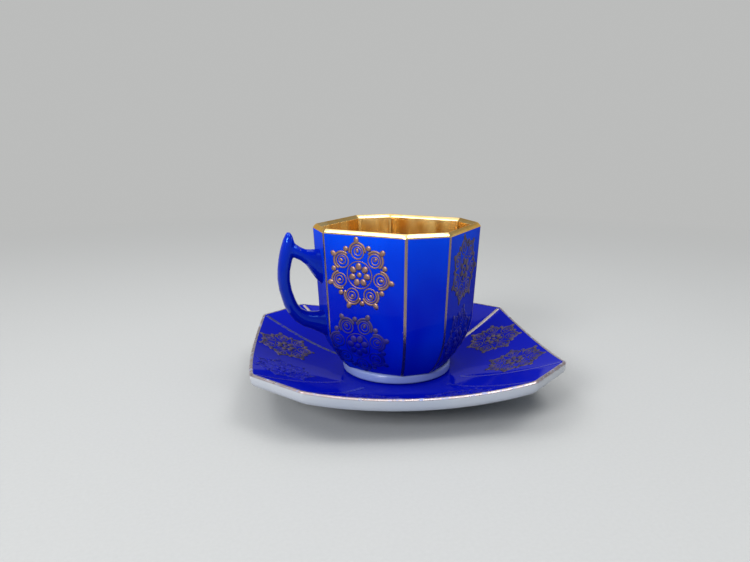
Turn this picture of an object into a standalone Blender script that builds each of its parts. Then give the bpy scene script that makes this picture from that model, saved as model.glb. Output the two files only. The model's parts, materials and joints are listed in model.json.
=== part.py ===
"""Eight-sided espresso cup with an ear handle, standing loose on its eight-sided saucer.

Sizes are in metres with +Z up. The origin is on the table under the middle of the saucer.
The handle points along -X. The cup's wide facets face the diagonals of X and Y.
"""

import math

import bmesh
import bpy
from mathutils import Vector

# Cup: wall, bowl and foot
CUP_HEIGHT = 0.0560
CUP_ACROSS_FLATS = 0.0546
CUP_WIDE_FACET = 0.0320
CUP_WALL = 0.0024
CUP_FLOOR = 0.0034
CUP_LIP_CHAMFER = 0.0010
CUP_LIP_DROP = 0.0012
CUP_WALL_LEAN = math.radians(2.9)
CUP_SHOULDER_HEIGHT = 0.0200
CUP_FOOT_RADIUS = 0.0209
CUP_FOOT_HEIGHT = 0.0032
CUP_FOOT_WIDTH = 0.0034
CUP_FOOT_STEP = 0.0010
FOOT_ROUNDNESS = 0.4

# Handle: an ear with a pointed thumb rest
HANDLE_STAND_OUT = 0.0152
HANDLE_THICKNESS = 0.0062
HANDLE_EDGE_ROUND = 0.0010
HANDLE_ARM_WIDTH = 0.0046
HORN_DROP = 0.0014
HORN_OUT = 0.0107
HORN_WIDTH = 0.0032
UPPER_ROOT_DROP = 0.0084
UPPER_ROOT_DEPTH = 0.0122
LOWER_ROOT_RISE = 0.0149
LOWER_ROOT_DEPTH = 0.0096
LOOP_TOP_DROP = 0.0112

# Saucer
SAUCER_ACROSS_FLATS = 0.1068
SAUCER_WIDE_SIDE = 0.0735
SAUCER_SIDE_BOW = 0.0022
SAUCER_SIDE_DIP = 0.0031
SAUCER_CORNER_HEIGHT = 0.0185
SAUCER_WELL_HEIGHT = 0.0057
SAUCER_WELL_RADIUS = 0.0250
SAUCER_THICKNESS = 0.0033
SAUCER_RIM_EDGE = 0.0042
SAUCER_RIM_CHAMFER = 0.0008
SAUCER_RIM_UNDERCUT = 0.0004
SAUCER_FOOT_RADIUS = 0.0290
SAUCER_FOOT_WIDTH = 0.0036
SAUCER_CURVE = 1.45
SAUCER_TURN = math.radians(-11.4)

# Gilding
GILT = 0.00025
GILT_GAP = 0.0003
RIM_BAND_OUTSIDE = 0.0021
RIM_BAND_INSIDE = 0.0021
CUP_LINE_WIDTH = 0.0011
SAUCER_LINE_WIDTH = 0.0016
SAUCER_RIM_LINE = 0.0012

# Clearance between pieces that rest on or are stuck to each other
SEAT_GAP = 0.0003

# Points along each wide side, each narrow side and round each ring
WIDE_STEPS = 6
NARROW_STEPS = 4
BOWL_STEPS = 6
SAUCER_STEPS = 6
ROUND_STEPS = 48


def direction(angle):
    """Level unit vector at an angle from +X."""
    return Vector((math.cos(angle), math.sin(angle), 0.0))


def add_material(name, color, metallic, roughness):
    """One plain Principled material."""
    material = bpy.data.materials.new(name)
    material.use_nodes = True
    shader = material.node_tree.nodes["Principled BSDF"]
    shader.inputs["Base Color"].default_value = (*color, 1.0)
    shader.inputs["Metallic"].default_value = metallic
    shader.inputs["Roughness"].default_value = roughness
    return material


def add_mesh(name, bm, material, parent):
    """Close the bmesh into a named object with its faces pointing out."""
    bmesh.ops.recalc_face_normals(bm, faces=bm.faces)
    if bm.calc_volume(signed=True) < 0:
        bmesh.ops.reverse_faces(bm, faces=bm.faces)
    mesh = bpy.data.meshes.new(name)
    bm.to_mesh(mesh)
    bm.free()
    mesh.materials.append(material)
    piece = bpy.data.objects.new(name, mesh)
    piece.parent = parent
    bpy.context.collection.objects.link(piece)
    return piece


def add_ring(bm, points):
    """New vertices at the points, joined into one closed loop of edges."""
    verts = [bm.verts.new(point) for point in points]
    for here, there in zip(verts, verts[1:] + verts[:1]):
        bm.edges.new((here, there))
    return verts


def extrude_ring(bm, verts, points):
    """Extrude a closed loop of vertices and move the new loop to the points."""
    edges = [bm.edges.get(pair) for pair in zip(verts, verts[1:] + verts[:1])]
    made = bmesh.ops.extrude_edge_only(bm, edges=edges)["geom"]
    fresh = {item for item in made if isinstance(item, bmesh.types.BMVert)}
    ring = []
    for vert, point in zip(verts, points):
        twin = next(e.other_vert(vert) for e in vert.link_edges if e.other_vert(vert) in fresh)
        twin.co = point
        ring.append(twin)
    return ring


def vessel(rings):
    """Closed solid: a capped first ring, extruded through the others to a capped last ring."""
    bm = bmesh.new()
    verts = add_ring(bm, rings[0])
    bm.faces.new(verts)
    for points in rings[1:]:
        verts = extrude_ring(bm, verts, points)
    bm.faces.new(verts)
    return bm


def hoop(rings):
    """Closed solid: a ring extruded through the others and back on to itself."""
    bm = bmesh.new()
    first = add_ring(bm, rings[0])
    verts = first
    for points in rings[1:]:
        verts = extrude_ring(bm, verts, points)
    last = [bm.edges.get(pair) for pair in zip(verts, verts[1:] + verts[:1])]
    start = [bm.edges.get(pair) for pair in zip(first, first[1:] + first[:1])]
    bmesh.ops.bridge_loops(bm, edges=last + start)
    return bm


def turned_ring(outer, width, low, high):
    """Turned ring of square section."""
    def circle(radius, height):
        turns = (math.tau * k / ROUND_STEPS for k in range(ROUND_STEPS))
        return [radius * direction(turn) + Vector((0.0, 0.0, height)) for turn in turns]

    inner = outer - width
    return hoop([circle(outer, low), circle(outer, high), circle(inner, high), circle(inner, low)])


# The cup's outside, worked out from its driving sizes

FOOT_JOINT = CUP_FOOT_HEIGHT + SEAT_GAP
LIP_TOP = CUP_HEIGHT - GILT_GAP - GILT
LIP_FOOT = LIP_TOP - CUP_LIP_DROP
RIM_CORNER_RADIUS = math.hypot(CUP_ACROSS_FLATS / 2, CUP_WIDE_FACET / 2)
SHOULDER_SCALE = 1 - math.tan(CUP_WALL_LEAN) * (CUP_HEIGHT - CUP_SHOULDER_HEIGHT) / (CUP_ACROSS_FLATS / 2)
JOINT_SCALE = (CUP_FOOT_RADIUS + CUP_FOOT_STEP) / RIM_CORNER_RADIUS


def bowl_radius():
    """Radius of the bowl's arc: tangent to the wall at the shoulder, through the foot joint."""
    across = (SHOULDER_SCALE - JOINT_SCALE) * CUP_ACROSS_FLATS / 2
    down = CUP_SHOULDER_HEIGHT - FOOT_JOINT
    inward = across * math.cos(CUP_WALL_LEAN) - down * math.sin(CUP_WALL_LEAN)
    return (across * across + down * down) / (2 * inward)


BOWL_RADIUS = bowl_radius()


def cup_scale(height):
    """Size of the cup's octagon at a height, as a share of its size at the rim."""
    half = CUP_ACROSS_FLATS / 2
    if height >= CUP_SHOULDER_HEIGHT:
        return 1 - math.tan(CUP_WALL_LEAN) * (CUP_HEIGHT - height) / half
    sine = math.sin(CUP_WALL_LEAN) + (CUP_SHOULDER_HEIGHT - height) / BOWL_RADIUS
    drawn_in = BOWL_RADIUS * (math.cos(CUP_WALL_LEAN) - math.sqrt(1 - sine * sine))
    return SHOULDER_SCALE - drawn_in / half


def octagon(across, wide):
    """Corners in turn; a wide side joins corners 0 and 1, 2 and 3, 4 and 5, 6 and 7."""
    corners = []
    for quarter in range(4):
        facing = math.pi / 4 + quarter * math.pi / 2
        out = across / 2 * direction(facing)
        along = wide / 2 * direction(facing + math.pi / 2)
        corners += [out - along, out + along]
    return corners


def cup_corners(height, inset):
    """Corners of the cup's octagon at a height, each side moved in by the inset."""
    scale = cup_scale(height)
    across = CUP_ACROSS_FLATS * scale - 2 * inset
    wide = CUP_WIDE_FACET * scale - 2 * inset * (math.sqrt(2) - 1)
    return octagon(across, wide)


def on_cup(point, height, inset):
    """Lift a point of the octagon to its height, drawn towards the round of the foot low down."""
    share = (CUP_SHOULDER_HEIGHT - height) / (CUP_SHOULDER_HEIGHT - FOOT_JOINT)
    roundness = FOOT_ROUNDNESS * max(0.0, share) ** 2
    round_radius = CUP_FOOT_RADIUS * cup_scale(height) / JOINT_SCALE - inset
    drawn = point.lerp(round_radius * point.normalized(), roundness)
    return Vector((drawn.x, drawn.y, height))


def cup_ring(height, inset=0.0):
    """Ring of points round the cup at a height."""
    corners = cup_corners(height, inset)
    ring = []
    for side, (here, there) in enumerate(zip(corners, corners[1:] + corners[:1])):
        steps = NARROW_STEPS if side % 2 else WIDE_STEPS
        for step in range(steps):
            ring.append(on_cup(here.lerp(there, step / steps), height, inset))
    return ring


def bowl_heights(low):
    """Heights from low up to the shoulder, closer together where the bowl curves most."""
    rise = CUP_SHOULDER_HEIGHT - low
    return [low + rise * (step / BOWL_STEPS) ** 1.25 for step in range(BOWL_STEPS + 1)]


def make_cup_body(material, parent):
    """Octagonal bowl whose lip slopes down on both sides."""
    edge = CUP_LIP_CHAMFER
    floor = FOOT_JOINT + CUP_FLOOR
    rings = [cup_ring(height) for height in bowl_heights(FOOT_JOINT)]
    rings += [cup_ring(LIP_FOOT), cup_ring(LIP_TOP, edge), cup_ring(LIP_TOP, CUP_WALL - edge)]
    rings += [cup_ring(LIP_FOOT, CUP_WALL)]
    rings += [cup_ring(height, CUP_WALL) for height in reversed(bowl_heights(floor))]
    return add_mesh("cup_body", vessel(rings), material, parent)


def make_cup_lining(material, parent):
    """Gilding of the inside, from under the rim band to the floor."""
    top = CUP_HEIGHT - RIM_BAND_INSIDE - SEAT_GAP
    back = CUP_WALL + GILT_GAP
    front = back + GILT
    low = FOOT_JOINT + CUP_FLOOR + GILT_GAP
    heights = bowl_heights(low) + [top]
    rings = [cup_ring(height, back) for height in heights]
    rings += [cup_ring(height, front) for height in reversed(heights[1:])]
    rings += [cup_ring(low + GILT, front)]
    return add_mesh("cup_gold_lining", vessel(rings), material, parent)


def make_cup_rim_band(material, parent):
    """Gilt band over the lip, down the outside and a little way down the inside."""
    edge = CUP_LIP_CHAMFER
    outside = CUP_HEIGHT - RIM_BAND_OUTSIDE
    inside = CUP_HEIGHT - RIM_BAND_INSIDE
    under = GILT_GAP
    over = GILT_GAP + GILT
    rings = [cup_ring(outside, -under), cup_ring(outside, -over), cup_ring(LIP_FOOT, -over)]
    rings += [cup_ring(CUP_HEIGHT, edge), cup_ring(CUP_HEIGHT, CUP_WALL - edge)]
    rings += [cup_ring(LIP_FOOT, CUP_WALL + over), cup_ring(inside, CUP_WALL + over)]
    rings += [cup_ring(inside, CUP_WALL + under), cup_ring(LIP_FOOT, CUP_WALL + under)]
    rings += [cup_ring(CUP_HEIGHT - GILT, CUP_WALL - edge), cup_ring(CUP_HEIGHT - GILT, edge)]
    rings += [cup_ring(LIP_FOOT, -under)]
    return add_mesh("cup_rim_band", hoop(rings), material, parent)


def across_corner(before, corner, after, width):
    """Three points across a corner: along one side, the corner, along the next side."""
    half = width / 2
    return [
        corner + (before - corner).normalized() * half,
        corner,
        corner + (after - corner).normalized() * half,
    ]


def cup_line_section(index, height):
    """Closed section of the gold line over one arris of the cup."""
    section = []
    for inset in (-GILT_GAP, -GILT_GAP - GILT):
        corners = cup_corners(height, inset)
        before, corner, after = corners[index - 1], corners[index], corners[(index + 1) % 8]
        points = across_corner(before, corner, after, CUP_LINE_WIDTH)
        points = [on_cup(point, height, inset) for point in points]
        section += points if inset == -GILT_GAP else points[::-1]
    return section


def make_cup_lines(material, parent):
    """One gold line down each arris, from the rim band to the foot."""
    top = CUP_HEIGHT - RIM_BAND_OUTSIDE - SEAT_GAP
    heights = bowl_heights(FOOT_JOINT + SEAT_GAP) + [top]
    for index in range(8):
        rings = [cup_line_section(index, height) for height in heights]
        add_mesh(f"cup_gold_line_{index + 1}", vessel(rings), material, parent)


def make_cup_foot(material, parent):
    """Unglazed-edge foot ring under the bowl."""
    bm = turned_ring(CUP_FOOT_RADIUS, CUP_FOOT_WIDTH, 0.0, CUP_FOOT_HEIGHT)
    return add_mesh("cup_foot_ring", bm, material, parent)


def narrow_facet(height):
    """How far the middle of a narrow facet is from the cup's axis."""
    half_rim = (CUP_ACROSS_FLATS / 2 + CUP_WIDE_FACET / 2) / math.sqrt(2)
    return half_rim * cup_scale(height)


def handle_knots():
    """Knots round the handle as (point, handle before, handle after), in reach and height."""
    horn = CUP_HEIGHT - HORN_DROP
    upper_high = CUP_HEIGHT - UPPER_ROOT_DROP
    upper_low = upper_high - UPPER_ROOT_DEPTH
    lower_low = LOWER_ROOT_RISE
    lower_high = LOWER_ROOT_RISE + LOWER_ROOT_DEPTH
    loop_top = CUP_HEIGHT - LOOP_TOP_DROP
    wall = narrow_facet(upper_high) + SEAT_GAP
    reach = wall + HANDLE_STAND_OUT
    tip = wall + HORN_OUT
    hole = reach - HANDLE_ARM_WIDTH
    drop = horn - lower_low

    def root(height):
        return (narrow_facet(height) + SEAT_GAP, height)

    def beside(point, out, up):
        return (point[0] + out * HANDLE_STAND_OUT, point[1] + up)

    bridge, under = root(upper_high), root(upper_low)
    sole, shelf = root(lower_low), root(lower_high)
    apex = (tip, horn)
    near = (tip - HORN_WIDTH / 2, horn - HORN_WIDTH * 0.55)
    far = (tip + HORN_WIDTH / 2, horn - HORN_WIDTH * 0.64)
    loop_low = (hole - 0.51 * HANDLE_STAND_OUT, lower_high)
    loop_high = (hole - 0.15 * HANDLE_STAND_OUT, loop_top)
    return [
        (bridge, bridge, beside(bridge, 0.26, -0.03 * UPPER_ROOT_DEPTH)),
        (near, beside(near, -0.09, -1.2 * HORN_WIDTH), beside(near, 0.03, 0.25 * HORN_WIDTH)),
        (apex, beside(apex, -0.04, 0.0), beside(apex, 0.04, 0.0)),
        (far, beside(far, -0.03, 0.25 * HORN_WIDTH), (reach + 0.16 * HANDLE_STAND_OUT, horn - 0.25 * drop)),
        (sole, (reach + 0.20 * HANDLE_STAND_OUT, lower_low + 0.15 * drop), sole),
        (shelf, shelf, beside(shelf, 0.10, 0.0)),
        (loop_low, beside(loop_low, -0.10, 0.0), (hole + 0.04 * HANDLE_STAND_OUT, lower_high)),
        (loop_high, (hole + 0.12 * HANDLE_STAND_OUT, loop_top), beside(loop_high, -0.16, 0.0)),
        (under, beside(under, 0.15, 0.06 * UPPER_ROOT_DEPTH), under),
    ]


def handle_outline():
    """Filled outline of the handle, thickened and rounded along its edges, lying flat."""
    curve = bpy.data.curves.new("handle_outline", "CURVE")
    curve.dimensions = "2D"
    curve.fill_mode = "BOTH"
    curve.resolution_u = 8
    curve.extrude = HANDLE_THICKNESS / 2 - HANDLE_EDGE_ROUND
    curve.bevel_depth = HANDLE_EDGE_ROUND
    curve.bevel_resolution = 2
    curve.offset = -HANDLE_EDGE_ROUND
    spline = curve.splines.new("BEZIER")
    knots = handle_knots()
    spline.bezier_points.add(len(knots) - 1)
    for knot, (point, before, after) in zip(spline.bezier_points, knots):
        knot.handle_left_type = "FREE"
        knot.handle_right_type = "FREE"
        knot.co = (-point[0], point[1], 0.0)
        knot.handle_left = (-before[0], before[1], 0.0)
        knot.handle_right = (-after[0], after[1], 0.0)
    spline.use_cyclic_u = True
    return curve


def make_cup_handle(material, parent):
    """Ear handle, stood up in the plane of X and Z."""
    outline = bpy.data.objects.new("handle_outline", handle_outline())
    bpy.context.collection.objects.link(outline)
    view = bpy.context.evaluated_depsgraph_get()
    filled = bpy.data.meshes.new_from_object(outline.evaluated_get(view))
    bpy.data.objects.remove(outline)
    bm = bmesh.new()
    bm.from_mesh(filled)
    bmesh.ops.remove_doubles(bm, verts=bm.verts, dist=0.00001)
    piece = add_mesh("cup_handle", bm, material, parent)
    piece.rotation_euler = (math.pi / 2, 0.0, 0.0)
    return piece


# The saucer's upper surface, worked out from its driving sizes

SAUCER_UNDERSIDE = SAUCER_WELL_HEIGHT - SAUCER_THICKNESS
LAST_PANEL_SHARE = 0.9
FIRST_LINE_SHARE = 0.09


def saucer_rim():
    """Points round the rim; each wide side bows out and dips between its corners."""
    half = SAUCER_WIDE_SIDE / 2
    rim = []
    for side in range(4):
        facing = side * math.pi / 2
        out, along = direction(facing), direction(facing + math.pi / 2)
        for step in range(WIDE_STEPS + 1):
            place = 2 * step / WIDE_STEPS - 1
            swell = 1 - place * place
            point = (SAUCER_ACROSS_FLATS / 2 + SAUCER_SIDE_BOW * swell) * out + place * half * along
            point.z = SAUCER_CORNER_HEIGHT - SAUCER_SIDE_DIP * swell
            rim.append(point)
        end = rim[-1]
        turn = direction(facing + math.pi / 2)
        start = SAUCER_ACROSS_FLATS / 2 * turn + half * out
        for step in range(1, NARROW_STEPS):
            point = end.lerp(start, step / NARROW_STEPS)
            point.z = SAUCER_CORNER_HEIGHT
            rim.append(point)
    return rim


SAUCER_RIM = saucer_rim()
SIDE_POINTS = WIDE_STEPS + NARROW_STEPS
CREASES = [k * SIDE_POINTS + end for k in range(4) for end in (0, WIDE_STEPS)]


def saucer_ring(share, lift=0.0, inset=0.0):
    """Ring on the upper surface; share is 0 at the edge of the well and 1 at the rim."""
    ring = []
    for point in SAUCER_RIM:
        level = Vector((point.x, point.y, 0.0))
        out = level.normalized()
        spot = (SAUCER_WELL_RADIUS * out).lerp(level, share) - inset * out
        rise = (point.z - SAUCER_WELL_HEIGHT) * share ** SAUCER_CURVE
        ring.append(Vector((spot.x, spot.y, SAUCER_WELL_HEIGHT + rise + lift)))
    return ring


def saucer_shares(low, high):
    """Even steps between two shares."""
    return [low + (high - low) * step / SAUCER_STEPS for step in range(SAUCER_STEPS + 1)]


def underside_lift(share):
    """How far the underside lies below the upper surface; the dish is thickest at its rim."""
    return -SAUCER_THICKNESS - (SAUCER_RIM_EDGE - SAUCER_THICKNESS) * share


def make_saucer_plate(material, parent):
    """Dish with a flat well, eight creased panels and a white edge."""
    edge = SAUCER_RIM_CHAMFER
    rings = [saucer_ring(share, underside_lift(share)) for share in saucer_shares(0.0, LAST_PANEL_SHARE)]
    rings += [saucer_ring(1.0, underside_lift(1.0), SAUCER_RIM_UNDERCUT)]
    rings += [saucer_ring(1.0, -edge), saucer_ring(1.0, 0.0, edge)]
    rings += [saucer_ring(share) for share in reversed(saucer_shares(0.0, LAST_PANEL_SHARE))]
    return add_mesh("saucer_plate", vessel(rings), material, parent)


def make_saucer_foot(material, parent):
    """Foot ring that the saucer stands on."""
    high = SAUCER_UNDERSIDE - SEAT_GAP
    bm = turned_ring(SAUCER_FOOT_RADIUS, SAUCER_FOOT_WIDTH, 0.0, high)
    return add_mesh("saucer_foot_ring", bm, material, parent)


def rim_line_share():
    """Share at which the rim line begins, from its width at the narrowest panel."""
    return 1 - SAUCER_RIM_LINE / (SAUCER_ACROSS_FLATS / 2 - SAUCER_WELL_RADIUS)


def make_saucer_rim_line(material, parent):
    """Gold line along the top of the rim."""
    edge = SAUCER_RIM_CHAMFER
    begin = rim_line_share()
    low, high = GILT_GAP, GILT_GAP + GILT
    rings = [saucer_ring(begin, low), saucer_ring(1.0, low, edge)]
    rings += [saucer_ring(1.0, high, edge), saucer_ring(begin, high)]
    return add_mesh("saucer_rim_line", hoop(rings), material, parent)


def saucer_line_section(index, share):
    """Closed section of the gold line along one crease of the saucer."""
    ring = saucer_ring(share)
    before, corner, after = ring[index - 1], ring[index], ring[(index + 1) % len(ring)]
    points = across_corner(before, corner, after, SAUCER_LINE_WIDTH)
    low = [point + Vector((0.0, 0.0, GILT_GAP)) for point in points]
    high = [point + Vector((0.0, 0.0, GILT_GAP + GILT)) for point in points]
    return low + high[::-1]


def make_saucer_lines(material, parent):
    """One gold line along each crease, from the well to the rim line."""
    gap = SEAT_GAP / (SAUCER_ACROSS_FLATS / 2 - SAUCER_WELL_RADIUS)
    for number, index in enumerate(CREASES):
        shares = saucer_shares(FIRST_LINE_SHARE, rim_line_share() - gap)
        rings = [saucer_line_section(index, share) for share in shares]
        add_mesh(f"saucer_gold_line_{number + 1}", vessel(rings), material, parent)


def add_empty(name, height, turn):
    """Empty that carries the pieces of one loose body."""
    empty = bpy.data.objects.new(name, None)
    empty.location = (0.0, 0.0, height)
    empty.rotation_euler = (0.0, 0.0, turn)
    bpy.context.collection.objects.link(empty)
    return empty


def build():
    """Clear the scene and make every piece of the cup and the saucer."""
    for old in list(bpy.data.objects):
        bpy.data.objects.remove(old)
    blue = add_material("cobalt_glaze", (0.004, 0.020, 0.520), 0.0, 0.12)
    white = add_material("white_porcelain", (0.780, 0.800, 0.830), 0.0, 0.20)
    gold = add_material("bright_gold", (0.800, 0.500, 0.220), 1.0, 0.18)

    saucer = add_empty("saucer", 0.0, SAUCER_TURN)
    make_saucer_plate(blue, saucer)
    make_saucer_foot(white, saucer)
    make_saucer_rim_line(gold, saucer)
    make_saucer_lines(gold, saucer)

    cup = add_empty("cup", SAUCER_WELL_HEIGHT + SEAT_GAP, 0.0)
    make_cup_body(blue, cup)
    make_cup_foot(white, cup)
    make_cup_handle(blue, cup)
    make_cup_lining(gold, cup)
    make_cup_rim_band(gold, cup)
    make_cup_lines(gold, cup)


build()
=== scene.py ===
"""Looks of an eight-sided espresso cup with an ear handle, standing on its eight-sided saucer."""

import json
import math

import bpy
from mathutils import Matrix, Vector

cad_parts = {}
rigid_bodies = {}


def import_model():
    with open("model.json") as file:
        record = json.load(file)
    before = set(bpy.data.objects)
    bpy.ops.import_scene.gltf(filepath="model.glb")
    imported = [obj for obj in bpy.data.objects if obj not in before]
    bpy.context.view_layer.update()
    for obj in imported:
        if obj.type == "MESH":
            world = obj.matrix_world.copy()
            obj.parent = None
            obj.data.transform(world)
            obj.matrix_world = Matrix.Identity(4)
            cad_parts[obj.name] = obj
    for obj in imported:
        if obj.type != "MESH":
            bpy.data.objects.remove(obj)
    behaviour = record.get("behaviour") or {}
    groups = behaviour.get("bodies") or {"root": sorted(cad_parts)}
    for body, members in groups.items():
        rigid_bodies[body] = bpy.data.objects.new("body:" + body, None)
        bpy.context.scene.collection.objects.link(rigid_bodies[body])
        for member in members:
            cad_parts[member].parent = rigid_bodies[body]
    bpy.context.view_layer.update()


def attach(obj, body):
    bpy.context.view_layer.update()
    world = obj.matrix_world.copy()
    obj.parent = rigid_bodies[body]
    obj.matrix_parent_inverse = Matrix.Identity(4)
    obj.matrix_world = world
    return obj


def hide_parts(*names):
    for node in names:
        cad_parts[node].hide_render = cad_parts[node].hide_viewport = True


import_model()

# Cup sizes, in metres, as in the solids
CUP_SEAT = 0.0060
CUP_HEIGHT = 0.0560
CUP_ACROSS_FLATS = 0.0546
CUP_WIDE_FACET = 0.0320
CUP_WALL = 0.0024
CUP_WALL_LEAN = math.radians(2.9)
CUP_SHOULDER = 0.0200
CUP_FOOT_RADIUS = 0.0209
CUP_FOOT_HEIGHT = 0.0034
CUP_FOOT_WIDTH = 0.0034
CUP_FOOT_ROUND = 0.0009
CUP_FOOT_JOINT = 0.0035
CUP_FOOT_STEP = 0.0010
CUP_BASE_RADIUS = 0.0182
CUP_BASE_EDGE = 0.0040
CUP_BASE_DROP = 0.0005
CUP_BASE_THICKNESS = 0.0003
FOOT_ROUNDNESS = 0.4
ARRIS_SOFTNESS = 0.00052
ARRIS_REACH = math.radians(1.3)
ARRIS_LINE_REACH = math.radians(1.7)
ARRIS_INNER_END = 0.0160
LIP_ROUND = 0.00112
LIP_PROFILE = 0.29
LIP_STRETCH = 1.12
LIP_ROOM = 0.00002
LIP_UNEVENNESS = 0.0006
RIM_BAND = 0.0015

# Rings of the cup: heights on its wall, and how many its bowl has and how they crowd towards the foot
WALL_RINGS = [CUP_HEIGHT - RIM_BAND, 0.0480, 0.0420, 0.0360, 0.0300, 0.0250, CUP_SHOULDER]
BOWL_RINGS = 14
BOWL_CROWDING = 1.2
BOWL_FLOOR_SHARE = 0.8

# Saucer sizes
SAUCER_ACROSS_FLATS = 0.1068
SAUCER_WIDE_SIDE = 0.0735
SAUCER_BOW = 0.0022
SAUCER_DIP = 0.0031
SAUCER_CORNER_HEIGHT = 0.0185
SAUCER_CORNER_ROUND = 0.0009
SAUCER_WELL_HEIGHT = 0.0057
SAUCER_WELL_RADIUS = 0.0250
SAUCER_THICKNESS = 0.0033
SAUCER_RIM_EDGE = 0.0042
SAUCER_EDGE_ROUND = 0.0013
SAUCER_EDGE_REACH = 0.045
SAUCER_UNDERCUT = 0.0004
SAUCER_FOOT_RADIUS = 0.0290
SAUCER_FOOT_WIDTH = 0.0036
SAUCER_FOOT_ROUND = 0.0008
SAUCER_FOOT_LAP = 0.0006
SAUCER_CURVE = 1.45
SAUCER_TURN = math.radians(-11.4)
SAUCER_RIM_REACH = 0.060
SAUCER_RIM_LINE = 0.0014
CREASE_LINE_WIDTH = 0.0015
CREASE_LINE_START = 0.0015
OVER_SAUCER = 0.050

# Rings of the saucer's top and underside, as shares of the way from the well to the rim, and of its well
TOP_RINGS = [0.93 - 0.91 * k / 15 for k in range(16)]
UNDER_RINGS = [0.95 - 0.93 * k / 12 for k in range(13)]
WELL_RINGS = (0.85, 0.6, 0.4)

# Thickness of the gold and of the blue on the white body
GOLD_SKIN = 0.00006
GLAZE_SKIN = 0.00008

# Lace of a medallion: how far its parts are from the middle, cords as radius and half width, and beads as
# half width and length for one of width
LOBES = 7
LOBE_REACH = 0.0082
TIP_REACH = 0.01215
NOTCH_REACH = 0.01024
FLOWER_REACH = 0.00295
LOBE_RING = (0.00240, 0.00027)
LOBE_ARCH = (0.00310, 0.00048)
LOBE_CURL = (0.00135, 0.00024)
FLOWER_RING = (0.00478, 0.00022)
CURL_BEAD = (0.00058, 1.4)
TIP_BEAD = (0.00104, 1.3)
NOTCH_BEAD = (0.00104, 1.0)
PETAL_BEAD = (0.00126, 1.15)
MIDDLE_BEAD = (0.00100, 1.0)
RING_SET_IN = 0.0002
CURL_ASIDE = 0.0002
CURL_BEAD_OUT = 0.0003
ARCH_SPREAD = 0.0005
LACE_RELIEF = 0.28

# Medallions on the cup: height, size and turn of the upper and lower ones, how far they sit off the middle
# of each wide facet, and each facet's own small turn
CUP_LACE = ((0.0408, 0.0146), (1.0, 0.98), (0.0, math.pi / LOBES))
LACE_SHIFTS = ((0.0006, 0.0010), (-0.0010, -0.0004), (-0.0019, -0.0036), (0.0004, 0.0))
LACE_SKEWS = (0.06, -0.10, 0.07, 0.19)
WALL_STEP = 0.0004
WALL_PROBE = 0.0001

# Medallions on the saucer: how far out from the axis and off the middle of a side they sit, and their size
SAUCER_LACE_OUT = 0.0432
SAUCER_LACE_ALONG = 0.0134
SAUCER_LACE_SIZE = 0.86

# Camera of the photograph: its place, how far it looks down and to the side, and its lens
CAMERA_PLACE = (-0.07993, -0.21961, 0.09146)
CAMERA_DOWN = 0.218
CAMERA_HEADING = math.radians(17.94)
CAMERA_SENSOR = 36.0
PHOTO_WIDTH = 750
PHOTO_FOCAL_LENGTH = 627
CAMERA_LENS = PHOTO_FOCAL_LENGTH * CAMERA_SENSOR / PHOTO_WIDTH

# Points this close are one, and places are told apart by a hair
MERGE_WITHIN = 0.000002
HAIR = 0.00001


# Modelling by hand

def start(add, name, **sizes):
    """Add a primitive on its own, settle its place in its mesh and open it for editing."""
    bpy.ops.object.select_all(action="DESELECT")
    add(**sizes)
    piece = bpy.context.object
    piece.name = name
    piece.data.name = name
    bpy.ops.object.transform_apply(location=True, rotation=True, scale=True)
    bpy.context.tool_settings.mesh_select_mode = (True, False, False)
    bpy.ops.object.mode_set(mode="EDIT")
    bpy.ops.mesh.select_all(action="SELECT")
    return piece


def close():
    """Merge doubles, turn every face outwards and leave edit mode."""
    bpy.ops.mesh.select_mode(type="VERT")
    bpy.ops.mesh.select_all(action="SELECT")
    bpy.ops.mesh.remove_doubles(threshold=MERGE_WITHIN)
    bpy.ops.mesh.normals_make_consistent(inside=False)
    bpy.ops.object.mode_set(mode="OBJECT")


def choose(piece):
    """Make one piece the only selected and active one."""
    if bpy.context.object and bpy.context.object.mode != "OBJECT":
        bpy.ops.object.mode_set(mode="OBJECT")
    bpy.ops.object.select_all(action="DESELECT")
    piece.select_set(True)
    bpy.context.view_layer.objects.active = piece


def pick(piece, kind, wanted):
    """Open a piece with only the wanted vertices, edges or faces selected."""
    choose(piece)
    mesh = piece.data
    for items in (mesh.vertices, mesh.edges, mesh.polygons):
        items.foreach_set("select", [False] * len(items))
    if kind == "VERT":
        for vertex in mesh.vertices:
            vertex.select = wanted(vertex.co)
    if kind == "EDGE":
        for edge in mesh.edges:
            ends = [mesh.vertices[index].co for index in edge.vertices]
            edge.select = wanted(*ends)
    if kind == "FACE":
        for face in mesh.polygons:
            face.select = wanted(face.center, face.normal)
    bpy.context.tool_settings.mesh_select_mode = [kind == each for each in ("VERT", "EDGE", "FACE")]
    bpy.ops.object.mode_set(mode="EDIT")


def finish_with(piece, kind, **settings):
    """Add one modifier with its settings and apply it."""
    choose(piece)
    modifier = piece.modifiers.new(kind.lower(), kind)
    for name, value in settings.items():
        setattr(modifier, name, value)
    bpy.ops.object.modifier_apply(modifier=modifier.name)


def smooth(piece, degrees=40):
    """Shade smooth, but keep edges sharper than the angle."""
    choose(piece)
    bpy.ops.object.shade_smooth_by_angle(angle=math.radians(degrees))


def next_ring(grow, rise, out=0.0, lift=1.0, centre=0.0):
    """Extrude the selected ring, scale it, raise it and push it out from its middle."""
    bpy.ops.mesh.extrude_region_move(TRANSFORM_OT_translate={"value": (0.0, 0.0, rise)})
    bpy.ops.transform.resize(value=(grow, grow, lift), center_override=(0.0, 0.0, centre))
    if out:
        bpy.ops.transform.push_pull(value=-out)


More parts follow.
